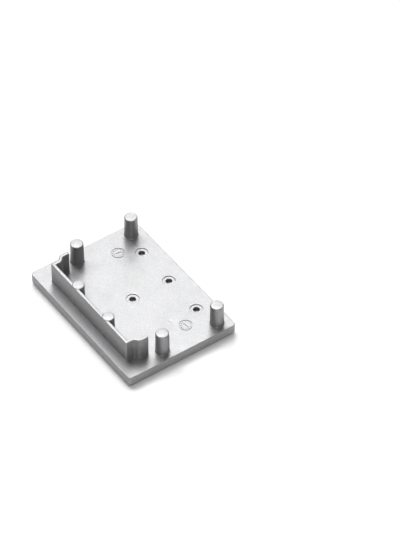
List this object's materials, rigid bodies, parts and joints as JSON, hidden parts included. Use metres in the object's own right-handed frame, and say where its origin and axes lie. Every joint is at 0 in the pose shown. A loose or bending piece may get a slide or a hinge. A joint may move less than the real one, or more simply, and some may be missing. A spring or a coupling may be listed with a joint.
{
  "type": "profile end cap",
  "caption": "Rectangular end cap for a hollow profile: a flat plate with round press-in pegs and a thin U-shaped locating wall on its inner face",
  "frame": {"origin": "centre of the outer face, the face the cap rests on", "axes": "X along the plate's length, Y across it from the wall's side to the back, Z from the outer face to the pegs"},
  "size_m": [0.055, 0.04, 0.012],
  "materials": {
    "silver_plastic": "silver-grey satin with a very fine grain"
  },
  "bodies": {
    "root": {"end_cap": "silver_plastic"}
  },
  "joints": []
}
